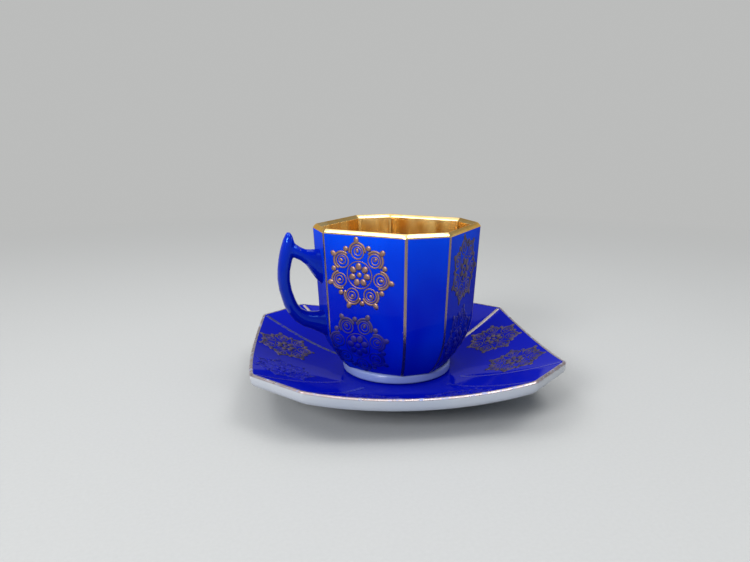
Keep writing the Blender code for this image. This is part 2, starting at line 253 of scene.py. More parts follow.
def octagon(name, square, chamfer, height):
    """Flat octagon: a square with its corners cut off."""
    piece = start(bpy.ops.mesh.primitive_plane_add, name, size=square)
    bpy.ops.transform.translate(value=(0.0, 0.0, height))
    bpy.ops.mesh.bevel(offset=chamfer, affect="VERTICES")
    return piece


def split_sides(piece, length, cuts):
    """Divide the sides of a ring that have about the given length."""
    pick(piece, "EDGE", lambda a, b: abs((a - b).length / length - 1) < 0.2)
    bpy.ops.mesh.subdivide(number_cuts=cuts)
    bpy.ops.mesh.select_mode(type="VERT")
    bpy.ops.mesh.select_all(action="SELECT")


def raise_skin(skin, thickness):
    """Give a sheet of faces its thickness, outwards."""
    finish_with(skin, "SOLIDIFY", thickness=thickness, offset=1.0, use_even_offset=True)
    smooth(skin)


def skin_from(source, name, wanted, thickness):
    """Copy the wanted faces of a piece and raise them into a fine skin of their own."""
    pick(source, "FACE", wanted)
    before = set(bpy.data.objects)
    bpy.ops.mesh.duplicate()
    bpy.ops.mesh.separate(type="SELECTED")
    bpy.ops.object.mode_set(mode="OBJECT")
    skin = (set(bpy.data.objects) - before).pop()
    skin.name = name
    skin.data.name = name
    raise_skin(skin, thickness)
    return skin


def turned_ring(name, outer, width, low, high, rounding):
    """Ring turned from a section with rounded corners."""
    piece = start(bpy.ops.mesh.primitive_plane_add, name, size=1.0, rotation=(math.pi / 2, 0.0, 0.0))
    bpy.ops.transform.resize(value=(width, 1.0, high - low), center_override=(0.0, 0.0, 0.0))
    bpy.ops.transform.translate(value=(outer - width / 2, 0.0, (low + high) / 2))
    bpy.ops.mesh.bevel(offset=rounding, segments=4, affect="VERTICES")
    bpy.ops.mesh.delete(type="ONLY_FACE")
    bpy.ops.mesh.select_all(action="SELECT")
    bpy.ops.mesh.spin(steps=120, angle=math.tau, center=(0.0, 0.0, 0.0), axis=(0.0, 0.0, 1.0))
    close()
    smooth(piece, 50)
    return piece


def angle_between(first, second):
    """Smallest turn between two directions, as a positive angle."""
    return abs((first - second + math.pi) % math.tau - math.pi)


# Cup

RIM_CORNER_RADIUS = math.hypot(CUP_ACROSS_FLATS / 2, CUP_WIDE_FACET / 2)
JOINT_SCALE = (CUP_FOOT_RADIUS + CUP_FOOT_STEP) / RIM_CORNER_RADIUS
CUP_SQUARE = (CUP_ACROSS_FLATS + CUP_WIDE_FACET) / math.sqrt(2)
CUP_CHAMFER = CUP_WIDE_FACET / math.sqrt(2)
CUP_NARROW_FACET = (CUP_ACROSS_FLATS - CUP_WIDE_FACET) / math.sqrt(2)
LIP_LEVEL = CUP_SEAT + CUP_HEIGHT - GOLD_SKIN - LIP_ROOM
BAND_EDGE = CUP_SEAT + CUP_HEIGHT - RIM_BAND - 5 * HAIR
CORNER_SPREAD = math.atan2(CUP_WIDE_FACET, CUP_ACROSS_FLATS)
CUP_CORNERS = [q * math.pi / 2 + math.pi / 4 + s * CORNER_SPREAD for q in range(4) for s in (-1, 1)]


def lean_scale(height):
    """Size of the straight wall's octagon at a height, as a share of the rim."""
    return 1 - math.tan(CUP_WALL_LEAN) * (CUP_HEIGHT - height) / (CUP_ACROSS_FLATS / 2)


def cup_scale(height):
    """Size of the cup's octagon at a height: straight wall above the shoulder, an arc below it."""
    if height >= CUP_SHOULDER:
        return lean_scale(height)
    half = CUP_ACROSS_FLATS / 2
    across = (lean_scale(CUP_SHOULDER) - JOINT_SCALE) * half
    down = CUP_SHOULDER - CUP_FOOT_JOINT
    inward = across * math.cos(CUP_WALL_LEAN) - down * math.sin(CUP_WALL_LEAN)
    radius = (across * across + down * down) / (2 * inward)
    sine = math.sin(CUP_WALL_LEAN) + (CUP_SHOULDER - height) / radius
    return lean_scale(CUP_SHOULDER) - radius * (math.cos(CUP_WALL_LEAN) - math.sqrt(1 - sine * sine)) / half


def cup_shape(height):
    """How much octagon and how wide a round the cup's ring at a height is made of."""
    share = max(0.0, (CUP_SHOULDER - height) / (CUP_SHOULDER - CUP_FOOT_JOINT))
    roundness = FOOT_ROUNDNESS * share ** 2
    scale = cup_scale(height)
    return scale * (1 - roundness), CUP_FOOT_RADIUS * scale / JOINT_SCALE * roundness


def outwards(place, normal):
    """How far a face looks away from the cup's axis."""
    return normal.dot(Vector((place.x, place.y, 0.0)).normalized())


def on_corner(place):
    """Whether a point lies over one of the cup's arrises."""
    angle = math.atan2(place.y, place.x)
    nearest = min(angle_between(angle, corner) for corner in CUP_CORNERS)
    return place.xy.length > ARRIS_INNER_END and nearest < ARRIS_REACH


def draw_bowl():
    """One ring drawn down from the rim to the foot and closed there."""
    bowl = octagon("cup_shell", CUP_SQUARE, CUP_CHAMFER, LIP_LEVEL)
    bpy.ops.mesh.delete(type="ONLY_FACE")
    split_sides(bowl, CUP_WIDE_FACET, cuts=11)
    split_sides(bowl, CUP_NARROW_FACET, cuts=5)
    shares = [(1 - k / BOWL_RINGS) ** BOWL_CROWDING for k in range(1, BOWL_RINGS + 1)]
    low_rings = [CUP_FOOT_JOINT + (CUP_SHOULDER - CUP_FOOT_JOINT) * share for share in shares]
    here = LIP_LEVEL - CUP_SEAT
    flat, bend = cup_shape(here)
    for height in WALL_RINGS + low_rings:
        new_flat, new_bend = cup_shape(height)
        grow = new_flat / flat
        next_ring(grow, height - here, new_bend - bend * grow)
        here, flat, bend = height, new_flat, new_bend
    next_ring(BOWL_FLOOR_SHARE, 0.0)
    bpy.ops.mesh.edge_face_add()
    close()
    return bowl


def round_lip(shell):
    """Level the lip, round its edges and stretch it to its full height."""
    round_from = LIP_LEVEL - LIP_ROUND * LIP_STRETCH
    blank_lip = round_from + LIP_ROUND
    pick(shell, "VERT", lambda co: co.z > LIP_LEVEL - LIP_UNEVENNESS)
    bpy.ops.transform.resize(value=(1.0, 1.0, 0.0), center_override=(0.0, 0.0, LIP_LEVEL))
    bpy.ops.transform.translate(value=(0.0, 0.0, blank_lip - LIP_LEVEL))
    pick(shell, "FACE", lambda co, normal: co.z > blank_lip - 10 * HAIR and normal.z > 0.9)
    bpy.ops.mesh.region_to_loop()
    bpy.ops.mesh.bevel(offset=LIP_ROUND, segments=6, profile=LIP_PROFILE, affect="EDGES")
    pick(shell, "VERT", lambda co: co.z > round_from + HAIR)
    bpy.ops.transform.resize(value=(1.0, 1.0, LIP_STRETCH), center_override=(0.0, 0.0, round_from))


def make_cup_shell():
    """Octagonal bowl with its wall, its rounded lip and its softened arrises."""
    shell = draw_bowl()
    finish_with(shell, "SOLIDIFY", thickness=CUP_WALL, offset=-1.0, use_even_offset=True)
    round_lip(shell)
    pick(shell, "EDGE", lambda a, b: on_corner(a) and on_corner(b))
    bpy.ops.mesh.bevel(offset=ARRIS_SOFTNESS, segments=3, affect="EDGES")
    bpy.ops.object.mode_set(mode="OBJECT")
    smooth(shell)
    return shell


def make_cup_gilding(shell):
    """Gold on the cup: lip band, lining of the bowl, and a line down each arris to the foot."""
    def in_band(place, normal):
        return place.z > BAND_EDGE

    def inside(place, normal):
        floor = normal.z > 0.5 and place.z < CUP_SEAT + CUP_SHOULDER
        return place.z < BAND_EDGE and (floor or outwards(place, normal) < -0.2)

    band = skin_from(shell, "cup_rim_gilding", in_band, GOLD_SKIN)
    lining = skin_from(shell, "cup_gold_lining_skin", inside, GOLD_SKIN)
    lines = []
    for number, corner in enumerate(CUP_CORNERS):
        def on_arris(place, normal):
            near = angle_between(math.atan2(place.y, place.x), corner) < ARRIS_LINE_REACH
            return near and place.z < BAND_EDGE and outwards(place, normal) > 0.5

        lines.append(skin_from(shell, f"cup_arris_line_{number + 1}", on_arris, GOLD_SKIN))
    return band, lining, lines


def make_cup_foot():
    """White foot ring and the white underside inside it."""
    low, high = CUP_SEAT, CUP_SEAT + CUP_FOOT_HEIGHT
    foot = turned_ring("cup_foot", CUP_FOOT_RADIUS, CUP_FOOT_WIDTH, low, high, CUP_FOOT_ROUND)
    base = start(
        bpy.ops.mesh.primitive_circle_add, "cup_base", vertices=96, radius=CUP_BASE_RADIUS, fill_type="NGON",
    )
    bpy.ops.transform.translate(value=(0.0, 0.0, CUP_SEAT + CUP_FOOT_JOINT))
    bpy.ops.mesh.inset(thickness=CUP_BASE_EDGE)
    bpy.ops.transform.translate(value=(0.0, 0.0, -CUP_BASE_DROP))
    bpy.ops.mesh.select_all(action="SELECT")
    bpy.ops.mesh.extrude_region_move(TRANSFORM_OT_translate={"value": (0.0, 0.0, -CUP_BASE_THICKNESS)})
    close()
    smooth(base)
    return foot, base


# Handle, from its root to its tip, in millimetres: each section joins two points of the outline, given as
# distance from the cup's axis and height above its foot, and has its own half thickness
MILLIMETRE = 0.001
SECTION_SIDES = 28
HANDLE_GRAIN = 0.0003
HANDLE_SMOOTHING = 10
HANDLE_ARM = [
    ((27.4, 24.9), (27.4, 14.6), 4.3),
    ((28.9, 24.6), (28.7, 15.0), 3.9),
    ((30.4, 24.5), (30.4, 16.2), 3.45),
    ((32.9, 24.6), (33.4, 17.9), 3.2),
    ((34.9, 24.9), (36.8, 19.3), 3.1),
    ((37.0, 26.0), (39.7, 21.5), 3.05),
    ((38.5, 27.9), (42.2, 24.8), 3.0),
    ((39.3, 29.7), (43.5, 27.5), 3.0),
    ((40.5, 33.4), (45.1, 33.3), 3.0),
    ((41.05, 37.0), (45.6, 37.3), 3.0),
    ((40.9, 40.4), (45.5, 41.0), 3.0),
    ((40.2, 43.6), (45.0, 44.8), 2.95),
    ((39.3, 46.8), (44.3, 48.1), 2.8),
    ((39.0, 50.4), (43.2, 51.6), 2.4),
    ((39.7, 52.9), (42.3, 53.4), 1.7),
    ((40.5, 54.2), (41.7, 54.3), 0.8),
]
HANDLE_BRIDGE = [
    ((28.2, 48.1), (28.2, 34.0), 4.2),
    ((29.9, 47.8), (29.7, 34.9), 3.8),
    ((31.6, 47.7), (31.4, 36.6), 3.3),
    ((33.4, 47.7), (33.2, 39.2), 3.05),
    ((35.1, 47.9), (35.1, 42.1), 2.9),
    ((36.8, 48.7), (37.1, 43.8), 2.85),
    ((38.6, 50.0), (39.3, 44.9), 2.7),
    ((40.6, 50.0), (41.6, 46.0), 2.3),
]


def loft(stations):
    """Tube through oval sections; each joins two points of the outline and has its own half thickness."""
    tube = None
    for (near_out, near_up), (far_out, far_up), half_thick in stations:
        near = Vector((-near_out, 0.0, near_up)) * MILLIMETRE
        far = Vector((-far_out, 0.0, far_up)) * MILLIMETRE
        across = far - near
        middle = (near + far) / 2 + Vector((0.0, 0.0, CUP_SEAT))
        tilt = (0.0, math.atan2(-across.z, across.x), 0.0)
        sizes = dict(vertices=SECTION_SIDES, radius=across.length / 2, location=middle, rotation=tilt)
        if tube is None:
            tube = start(bpy.ops.mesh.primitive_circle_add, "cup_ear", **sizes)
        else:
            bpy.ops.mesh.primitive_circle_add(**sizes)
        thick = 2 * half_thick * MILLIMETRE / across.length
        bpy.ops.transform.resize(value=(1.0, thick, 1.0), center_override=middle)
    last = len(stations) - 1
    for index in range(last):
        pick_sections(tube, index, index + 2)
        bpy.ops.mesh.bridge_edge_loops()
    for index in (0, last):
        pick_sections(tube, index, index + 1)
        bpy.ops.mesh.edge_face_add()
    close()
    return tube


def pick_sections(tube, first, end):
    """Select a tube's sections from the first up to the end one."""
    bpy.ops.object.mode_set(mode="OBJECT")
    mesh = tube.data
    mesh.polygons.foreach_set("select", [False] * len(mesh.polygons))
    for vertex in mesh.vertices:
        vertex.select = first <= vertex.index // SECTION_SIDES < end
    for edge in mesh.edges:
        edge.select = all(mesh.vertices[index].select for index in edge.vertices)
    bpy.ops.object.mode_set(mode="EDIT")


def make_handle():
    """Ear handle: the arm with its horn and the bridge to the wall, grown together."""
    arm = loft(HANDLE_ARM)
    bridge = loft(HANDLE_BRIDGE)
    choose(arm)
    bridge.select_set(True)
    bpy.ops.object.join()
    finish_with(arm, "REMESH", mode="VOXEL", voxel_size=HANDLE_GRAIN, adaptivity=0.0)
    finish_with(arm, "SMOOTH", factor=0.5, iterations=HANDLE_SMOOTHING)
    arm.name = "cup_ear"
    choose(arm)
    bpy.ops.object.shade_smooth()
    return arm


# Saucer

def rim_radius(angle):
    """How far the saucer's rim is from the axis, in a direction of the saucer's own frame."""
    half = SAUCER_ACROSS_FLATS / 2
    turn = (angle + math.pi / 4) % (math.pi / 2) - math.pi / 4
    if abs(turn) > math.atan2(SAUCER_WIDE_SIDE, SAUCER_ACROSS_FLATS):
        narrow = (SAUCER_ACROSS_FLATS + SAUCER_WIDE_SIDE) / 2 / math.sqrt(2)
        return narrow / math.cos(math.pi / 4 - abs(turn))
    place = math.tan(turn) * half / (SAUCER_WIDE_SIDE / 2)
    return (half + SAUCER_BOW * (1 - place * place)) / math.cos(turn)


def bow_sides(plate):
    """Bow the long sides of the rim outwards and let them dip between their corners."""
    half = SAUCER_ACROSS_FLATS / 2

    def off_middle(co):
        on_side = max(abs(co.x), abs(co.y)) > half - HAIR
        return round(min(abs(co.x), abs(co.y)), 6) if on_side else None

    for along in sorted({off_middle(vertex.co) for vertex in plate.data.vertices} - {None}):
        swell = 1 - (along / (SAUCER_WIDE_SIDE / 2)) ** 2
        pick(plate, "VERT", lambda co: off_middle(co) == along and co.z > SAUCER_CORNER_HEIGHT - HAIR)
        grow = 1 + SAUCER_BOW * swell / half
        bpy.ops.transform.resize(value=(grow, grow, 1.0), center_override=(0.0, 0.0, 0.0))
        bpy.ops.transform.translate(value=(0.0, 0.0, -SAUCER_DIP * swell))
    bpy.ops.mesh.select_all(action="SELECT")


def draw_in(shares, middle):
    """Draw the selected rim ring in to the well, ring by ring, along the dish's curve."""
    before = shares[0]
    for share in shares[1:]:
        grow = share / before
        out = SAUCER_WELL_RADIUS * ((1 - share) - (1 - before) * grow)
        next_ring(grow, 0.0, out, lift=grow ** SAUCER_CURVE, centre=middle)
        before = share
    for grow in WELL_RINGS:
        next_ring(grow, 0.0, lift=0.0, centre=middle)
    bpy.ops.mesh.edge_face_add()


def make_saucer_plate():
    """White dish: the rim ring drawn in along the top, then down the edge and in along the underside."""
    half = SAUCER_ACROSS_FLATS / 2
    chamfer = (SAUCER_ACROSS_FLATS - SAUCER_WIDE_SIDE) / 2
    plate = octagon("saucer_dish", SAUCER_ACROSS_FLATS, chamfer, SAUCER_CORNER_HEIGHT)
    bpy.ops.mesh.bevel(offset=SAUCER_CORNER_ROUND, segments=3, affect="VERTICES")
    bpy.ops.mesh.delete(type="ONLY_FACE")
    split_sides(plate, SAUCER_WIDE_SIDE, cuts=17)
    split_sides(plate, chamfer * math.sqrt(2), cuts=6)
    bpy.ops.object.mode_set(mode="OBJECT")
    bow_sides(plate)
    line = 1 - SAUCER_RIM_LINE / (half - SAUCER_WELL_RADIUS)
    draw_in([1.0, line] + TOP_RINGS, SAUCER_WELL_HEIGHT)
    bpy.ops.mesh.select_all(action="DESELECT")
    bpy.ops.mesh.select_non_manifold(
        use_wire=False, use_multi_face=False, use_non_contiguous=False, use_verts=False,
    )
    next_ring(1.0, -SAUCER_RIM_EDGE, -SAUCER_UNDERCUT)
    draw_in([1.0] + UNDER_RINGS, SAUCER_WELL_HEIGHT - SAUCER_THICKNESS)
    close()

    def on_edge(place, normal):
        return abs(normal.z) < 0.6 and math.hypot(place.x, place.y) > SAUCER_EDGE_REACH

    pick(plate, "FACE", on_edge)
    bpy.ops.mesh.region_to_loop()
    bpy.ops.mesh.bevel(offset=SAUCER_EDGE_ROUND, segments=4, affect="EDGES")
    bpy.ops.object.mode_set(mode="OBJECT")
    smooth(plate)
    return plate


def make_saucer_skins(plate):
    """Blue glaze on the top of the dish, and the gold line along its rim."""
    def on_top(place, normal):
        return normal.z > 0.72

    def on_rim(place, normal):
        share = math.hypot(place.x, place.y) / rim_radius(math.atan2(place.y, place.x))
        return normal.z > 0.25 and share > 1 - SAUCER_RIM_LINE / SAUCER_RIM_REACH

    glaze = skin_from(plate, "saucer_blue_glaze", on_top, GLAZE_SKIN)
    line = skin_from(plate, "saucer_rim_gilding", on_rim, GLAZE_SKIN + GOLD_SKIN)
    return glaze, line


def make_crease_line(number, angle, glaze):
    """Gold line along one crease of the saucer, laid on the glaze from the well to the rim."""
    low = SAUCER_WELL_RADIUS + CREASE_LINE_START
    high = rim_radius(angle) - SAUCER_RIM_LINE * 1.5
    name = f"saucer_crease_line_{number + 1}"
    line = start(bpy.ops.mesh.primitive_grid_add, name, size=1.0, x_subdivisions=30, y_subdivisions=4)
    bpy.ops.transform.resize(value=(high - low, CREASE_LINE_WIDTH, 1.0), center_override=(0.0, 0.0, 0.0))
    bpy.ops.transform.translate(value=((high + low) / 2, 0.0, OVER_SAUCER))
    bpy.ops.object.mode_set(mode="OBJECT")
    line.rotation_euler.z = angle
    bpy.ops.object.transform_apply(rotation=True)
    finish_with(
        line, "SHRINKWRAP", target=glaze, wrap_method="PROJECT", use_project_z=True,
        use_negative_direction=True, use_positive_direction=False, offset=HAIR,
    )
    raise_skin(line, GOLD_SKIN)
    return line


def make_crease_lines(glaze):
    """The lines along all eight creases, which reach the corners of the long sides."""
    spread = math.atan2(SAUCER_WIDE_SIDE, SAUCER_ACROSS_FLATS)
    creases = [side * math.pi / 2 + hand * spread for side in range(4) for hand in (-1, 1)]
    return [make_crease_line(number, angle, glaze) for number, angle in enumerate(creases)]


def make_saucer_foot():
    """White foot ring, let into the underside of the dish."""
    top = SAUCER_WELL_HEIGHT - SAUCER_THICKNESS + SAUCER_FOOT_LAP
    return turned_ring("saucer_foot", SAUCER_FOOT_RADIUS, SAUCER_FOOT_WIDTH, 0.0, top, SAUCER_FOOT_ROUND)


# Gold lace medallions

def add_cord(cord, out, rounds, sides, aside=0.0):
    """Ring of gold cord, at a distance from the medallion's middle."""
    radius, half_width = cord
    bpy.ops.mesh.primitive_torus_add(
        location=(aside, out, 0.0), major_radius=radius, minor_radius=half_width,
        major_segments=rounds, minor_segments=sides,
    )


def add_bead(bead, out, aside=0.0):
    """Bead of gold, longer towards the medallion's middle."""
    half_width, length = bead
    spot = (aside, out, 0.0)
    bpy.ops.mesh.primitive_uv_sphere_add(segments=10, ring_count=6, radius=half_width, location=spot)
    bpy.ops.transform.resize(value=(1.0, length, 1.0), center_override=spot)


def add_arch(cord, out):
    """Thick arch of gold cord round the outer side of a lobe."""
    add_cord(cord, out, 28, 6)
    bpy.ops.mesh.bisect(
        plane_co=(0.0, out - ARCH_SPREAD, 0.0), plane_no=(0.0, 1.0, 0.0), clear_inner=True, use_fill=True,
    )


def make_medallion():
    """Flat lace medallion: a middle flower, seven looped lobes under arches, and beads round the edge."""
    turn = math.tau / LOBES
    notch = Matrix.Rotation(-turn / 2, 3, "Z") @ Vector((0.0, NOTCH_REACH, 0.0))
    radius, half_width = LOBE_RING
    lace = start(
        bpy.ops.mesh.primitive_torus_add, "lace", major_radius=radius, minor_radius=half_width,
        major_segments=28, minor_segments=6,
    )
    bpy.ops.transform.translate(value=(0.0, LOBE_REACH - RING_SET_IN, 0.0))
    add_arch(LOBE_ARCH, LOBE_REACH)
    add_cord(LOBE_CURL, LOBE_REACH, 18, 5, aside=CURL_ASIDE)
    add_bead(CURL_BEAD, LOBE_REACH + CURL_BEAD_OUT)
    add_bead(TIP_BEAD, TIP_REACH)
    add_bead(NOTCH_BEAD, notch.y, aside=notch.x)
    add_bead(PETAL_BEAD, FLOWER_REACH)
    bpy.ops.mesh.select_all(action="SELECT")
    steps = LOBES - 1
    bpy.ops.mesh.spin(
        steps=steps, angle=turn * steps, dupli=True, center=(0.0, 0.0, 0.0), axis=(0.0, 0.0, 1.0),
    )
    add_cord(FLOWER_RING, 0.0, 40, 5)
    add_bead(MIDDLE_BEAD, 0.0)
    bpy.ops.mesh.select_all(action="SELECT")
    bpy.ops.transform.resize(value=(1.0, 1.0, LACE_RELIEF), center_override=(0.0, 0.0, 0.0))
    close()
    bpy.ops.object.shade_smooth()
    return lace


def lay_medallion(name, lace, ground, put, size, turn):
    """Copy the lace and lay it on a surface: put gives the place over a point of the flat lace."""
    piece = lace.copy()
    piece.data = lace.data.copy()
    piece.name = name
    piece.data.name = name
    bpy.context.collection.objects.link(piece)
    spun = Matrix.Rotation(turn, 3, "Z")
    for vertex in piece.data.vertices:
        flat = spun @ vertex.co
        _, place, normal, _ = ground.closest_point_on_mesh(put(size * flat.x, size * flat.y))
        vertex.co = place + flat.z * normal
    return piece


def height_along_wall(height, climb):
    """Height that a point reaches when it climbs along the cup's wall from another height."""
    half = CUP_ACROSS_FLATS / 2
    steps = max(1, round(abs(climb) / WALL_STEP))
    for _ in range(steps):
        widening = cup_scale(height + WALL_PROBE) - cup_scale(height - WALL_PROBE)
        lean = widening * half / (2 * WALL_PROBE)
        height = max(CUP_FOOT_JOINT + WALL_PROBE, height + climb / steps / math.hypot(1.0, lean))
    return height


def directions(facing):
    """Level directions out from the axis and sideways, for a side that faces a given way."""
    out = Vector((math.cos(facing), math.sin(facing), 0.0))
    across = Vector((-math.sin(facing), math.cos(facing), 0.0))
    return out, across


def make_cup_medallions(lace, shell):
    """Two medallions on each wide facet of the cup, one on the wall and one on the bowl."""
    pieces = []
    for quarter in range(4):
        out, across = directions(math.pi / 4 + quarter * math.pi / 2)
        pair = zip(("upper", "lower"), *CUP_LACE, LACE_SHIFTS[quarter])
        for level, height, size, turn, shift in pair:
            def put(sideways, up):
                here = height_along_wall(height, up)
                wall = CUP_ACROSS_FLATS / 2 * cup_scale(here)
                return wall * out + (shift + sideways) * across + Vector((0.0, 0.0, CUP_SEAT + here))

            name = f"cup_{level}_lace_{quarter + 1}"
            pieces.append(lay_medallion(name, lace, shell, put, size, turn + LACE_SKEWS[quarter]))
    return pieces


def make_saucer_medallions(lace, glaze):
    """Two medallions side by side on each long side of the saucer."""
    pieces = []
    for side in range(4):
        out, across = directions(side * math.pi / 2)
        for hand, hand_name in ((-1, "right"), (1, "left")):
            def put(sideways, up):
                place = (SAUCER_LACE_OUT - up) * out + (hand * SAUCER_LACE_ALONG + sideways) * across
                above = place + Vector((0.0, 0.0, OVER_SAUCER))
                _, spot, _, _ = glaze.ray_cast(above, Vector((0.0, 0.0, -1.0)))
                return spot

            name = f"saucer_{hand_name}_lace_{side + 1}"
            pieces.append(lay_medallion(name, lace, glaze, put, SAUCER_LACE_SIZE, 0.0))
    return pieces


# Materials

# Scales of the patterns in the glaze, the gold and the floor, and where the glaze's pools lie
POOL_SCALE = 42.0
POOL_STRETCH = (1.0, 1.0, 0.5)
POOL_SHIFT = (0.0, 0.017, 0.0)
RIPPLE_SCALE = 210.0
MOTTLE_SCALE = 700.0
SPECK_SCALE = 2600.0
WEAR_SCALE = 620.0
TONE_SCALE = 160.0
TONE_STRETCH = (1.0, 1.0, 0.4)
BRUSH_SCALE = 420.0
BRUSH_STRETCH = (1.0, 1.0, 0.35)
PAPER_SCALE = 900.0

# How late the colour lightens on its way up, how much of its tone comes from pools, and the depth of small
# relief
LIGHTENING_CURVE = 3.0
POOL_SHARE = 0.30
RIPPLE_DEPTH = 0.0004
BRUSH_DEPTH = 0.0003

# Glazes: colour low down, colour high up and colour of the specks, the heights between which the one gives
# way to the other, its range of roughness and its ripple, then plain sockets
GLAZES = {
    "cobalt_glaze": dict(
        deep=(0.0002, 0.0022, 0.400), thin=(0.0003, 0.0780, 0.900), speck=(0.0004, 0.0040, 0.250),
        run=(0.012, 0.062), gloss=(0.04, 0.09), ripple=0.08,
        Specular_IOR_Level=0.0, Coat_Weight=0.10, Coat_Roughness=0.06,
    ),
    # The handle carries the cup's glaze; this darker copy of it is painted shade.
    "shaded_handle_cobalt_glaze": dict(
        deep=(0.0002, 0.0018, 0.225), thin=(0.0004, 0.0190, 0.550), speck=(0.0004, 0.0040, 0.250),
        run=(0.020, 0.062), gloss=(0.06, 0.10), ripple=0.08,
        Specular_IOR_Level=0.68, Specular_Tint=(0.13, 0.46, 1.0, 1.0),
        Coat_Weight=0.04, Coat_Roughness=0.05,
    ),
    "saucer_cobalt_glaze": dict(
        deep=(0.0004, 0.0040, 0.350), thin=(0.0008, 0.0080, 0.400), speck=(0.0006, 0.0040, 0.250),
        run=(0.005, 0.019), gloss=(0.05, 0.11), ripple=0.10,
        Specular_IOR_Level=0.0, Coat_Weight=0.24, Coat_Roughness=0.06,
    ),
    # Painted shade: the saucer's white porcelain darkens and turns bluer towards the bottom of its edge and
    # underside.
    "white_porcelain": dict(
        deep=(0.330, 0.380, 0.500), thin=(0.490, 0.510, 0.550), speck=(0.400, 0.400, 0.420),
        run=(0.004, 0.018), gloss=(0.10, 0.22), ripple=0.10,
    ),
    # Painted reflection and shade: the cup's white foot is tinted with the blue of the glaze it reflects and
    # darkens towards the bottom.
    "reflection_tinted_porcelain": dict(
        deep=(0.200, 0.270, 0.550), thin=(0.310, 0.380, 0.610), speck=(0.300, 0.320, 0.400),
        run=(0.005, 0.010), gloss=(0.10, 0.22), ripple=0.10,
    ),
}

# Golds: rich and pale tone, what shows where it is worn or under painted shade, how worn it is, its range of
# roughness, how much of it is metal and its brush marks, then the heights over which a painted shade lifts,
# or plain sockets
GOLDS = {
    "bright_gold": dict(
        rich=(0.900, 0.560, 0.200), pale=(1.000, 0.750, 0.370), ground=(0.400, 0.190, 0.050),
        wear=0.05, gloss=(0.10, 0.20), metallic=1.0, brush=0.12,
        Specular_Tint=(1.0, 0.71, 0.33, 1.0),
    ),
    "lining_gold": dict(
        rich=(0.780, 0.530, 0.250), pale=(1.000, 0.900, 0.640), ground=(0.520, 0.300, 0.110),
        wear=0.10, gloss=(0.06, 0.14), metallic=1.0, brush=0.06,
        Specular_Tint=(1.0, 0.83, 0.54, 1.0),
    ),
    "line_gold": dict(
        rich=(0.250, 0.180, 0.160), pale=(0.370, 0.275, 0.240), ground=(0.004, 0.010, 0.320),
        wear=0.25, gloss=(0.20, 0.36), metallic=1.0, brush=0.2,
    ),
    "crease_gold": dict(
        rich=(0.480, 0.400, 0.390), pale=(0.640, 0.560, 0.520), ground=(0.004, 0.010, 0.320),
        wear=0.20, gloss=(0.20, 0.36), metallic=1.0, brush=0.2,
    ),
    "worn_line_gold": dict(
        rich=(0.060, 0.070, 0.240), pale=(0.110, 0.110, 0.290), ground=(0.004, 0.010, 0.340),
        wear=0.60, gloss=(0.20, 0.36), metallic=0.8, brush=0.2,
    ),
    "rubbed_line_gold": dict(
        rich=(0.0008, 0.006, 0.350), pale=(0.0020, 0.008, 0.360), ground=(0.0006, 0.005, 0.360),
        wear=0.97, gloss=(0.20, 0.36), metallic=0.1, brush=0.1,
        Coat_Weight=0.24, Coat_Roughness=0.08,
    ),
    "lace_gold": dict(
        rich=(0.280, 0.158, 0.125), pale=(0.420, 0.262, 0.210), ground=(0.004, 0.008, 0.280),
        wear=0.25, gloss=(0.38, 0.55), metallic=1.0, brush=0.25,
    ),
    # Painted shade: the lower medallions' gold is darker than the upper ones' and turns to dark blue towards
    # their bottom.
    "shaded_low_lace_gold": dict(
        rich=(0.110, 0.085, 0.130), pale=(0.190, 0.145, 0.160), ground=(0.001, 0.004, 0.210),
        wear=0.30, gloss=(0.38, 0.55), metallic=0.9, brush=0.25, fade=(0.020, 0.036),
    ),
    # Lace gold made darker and duller all over, with more of it worn; used on the right facet's upper
    # medallion and five of the saucer's.
    "dim_lace_gold": dict(
        rich=(0.080, 0.062, 0.110), pale=(0.140, 0.110, 0.150), ground=(0.004, 0.010, 0.330),
        wear=0.40, gloss=(0.45, 0.65), metallic=0.9, brush=0.25,
    ),
    # Painted shade: lace coloured almost like the glaze, so the right facet's lower medallion and the
    # saucer's front lace lie hidden as in shade; its wear setting is high too.
    "shade_hidden_lace_gold": dict(
        rich=(0.004, 0.008, 0.270), pale=(0.014, 0.016, 0.280), ground=(0.001, 0.005, 0.340),
        wear=0.70, gloss=(0.45, 0.65), metallic=0.3, brush=0.25,
        Coat_Weight=0.20, Coat_Roughness=0.10,
    ),
    "worn_rim_gold": dict(
        rich=(0.400, 0.310, 0.310), pale=(0.520, 0.450, 0.450), ground=(0.300, 0.350, 0.580),
        wear=0.50, gloss=(0.22, 0.40), metallic=0.9, brush=0.2,
    ),
}


def add_node(tree, kind, place, **values):
    """One node with its settings; names of sockets are set on its inputs."""
    node = tree.nodes.new(kind)
    node.location = place
    for name, value in values.items():
        if hasattr(node, name):
            setattr(node, name, value)
        else:
            node.inputs[name.replace("_", " ")].default_value = value
    return node


def new_group(name, inputs, outputs):
    """Empty shader group with its sockets, and its two end nodes."""
    tree = bpy.data.node_groups.new(name, "ShaderNodeTree")
    for socket, value in inputs:
        made = tree.interface.new_socket(socket, in_out="INPUT", socket_type="NodeSocketFloat")
        made.default_value = value
    for socket in outputs:
        tree.interface.new_socket(socket, in_out="OUTPUT", socket_type="NodeSocketFloat")
    return tree, tree.nodes.new("NodeGroupInput"), tree.nodes.new("NodeGroupOutput")


